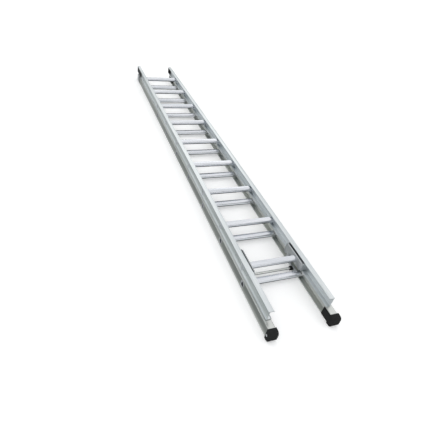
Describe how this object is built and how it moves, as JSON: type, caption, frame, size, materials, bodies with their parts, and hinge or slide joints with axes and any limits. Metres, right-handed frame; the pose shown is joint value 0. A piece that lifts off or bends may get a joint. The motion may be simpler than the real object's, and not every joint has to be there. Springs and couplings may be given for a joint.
{
  "type": "extension ladder",
  "caption": "Aluminium push-up extension ladder: a fly section with spring hooks slides on a base section with rubber shoes; D-shaped rungs in channel rails.",
  "frame": {"origin": "on the surface that the ladder lies on, under the middle of its bounding box, with the ladder closed and lying on its back", "axes": "+X along the rungs, +Y from the feet to the top along the rails, +Z out of the climbing face, away from the surface that the ladder lies on"},
  "size_m": [0.366, 3.022, 0.1135],
  "materials": {
    "rail_aluminium": "mill finish extrusion",
    "rung_aluminium": "mill finish extrusion, grooved tread",
    "cast_aluminium": "cast, dull",
    "fastener_steel": "zinc plated",
    "black_rubber": "moulded",
    "black_plastic": "moulded, satin"
  },
  "bodies": {
    "base": {"base_rail_left": "rail_aluminium", "base_rail_right": "rail_aluminium", "base_rung_1": "rung_aluminium", "base_rung_2": "rung_aluminium", "base_rung_3": "rung_aluminium", "base_rung_4": "rung_aluminium", "base_rung_5": "rung_aluminium", "base_rung_6": "rung_aluminium", "base_rung_7": "rung_aluminium", "base_rung_8": "rung_aluminium", "base_rung_9": "rung_aluminium", "shoe_left": "black_rubber", "shoe_right": "black_rubber", "shoe_bolt_left": "fastener_steel", "shoe_bolt_right": "fastener_steel", "guide_bracket_left": "cast_aluminium", "guide_bracket_right": "cast_aluminium", "guide_rivet_left_1": "fastener_steel", "guide_rivet_left_2": "fastener_steel", "guide_rivet_right_1": "fastener_steel", "guide_rivet_right_2": "fastener_steel", "base_cap_left": "black_plastic", "base_cap_right": "black_plastic"},
    "fly": {"fly_rail_left": "rail_aluminium", "fly_rail_right": "rail_aluminium", "fly_rung_1": "rung_aluminium", "fly_rung_2": "rung_aluminium", "fly_rung_3": "rung_aluminium", "fly_rung_4": "rung_aluminium", "fly_rung_5": "rung_aluminium", "fly_rung_6": "rung_aluminium", "fly_rung_7": "rung_aluminium", "fly_rung_8": "rung_aluminium", "fly_rung_9": "rung_aluminium", "fly_cap_left": "black_plastic", "fly_cap_right": "black_plastic", "hook_bracket_left": "cast_aluminium", "hook_bracket_right": "cast_aluminium", "hook_rivet_left_1": "fastener_steel", "hook_rivet_left_2": "fastener_steel", "hook_rivet_right_1": "fastener_steel", "hook_rivet_right_2": "fastener_steel", "pivot_pin_left": "fastener_steel", "pivot_pin_right": "fastener_steel", "hook_spring_left": "fastener_steel", "hook_spring_right": "fastener_steel"},
    "latch": {"hook_left": "cast_aluminium", "hook_right": "cast_aluminium", "tie_bar": "rail_aluminium", "hook_collar_left": "black_plastic", "hook_collar_right": "black_plastic"}
  },
  "joints": [
    {"name": "fly_slide", "type": "slide", "parent": "base", "child": "fly", "axis": [0, 1, 0], "range_m": [0, 1.8]},
    {"name": "hook_swing", "type": "hinge", "parent": "fly", "child": "latch", "pos_m": [0, -1.111, 0.057], "axis": [-1, 0, 0], "range_deg": [0, 16], "stiffness_Nm_per_rad": 0.3, "springref_deg": -34.38}
  ]
}
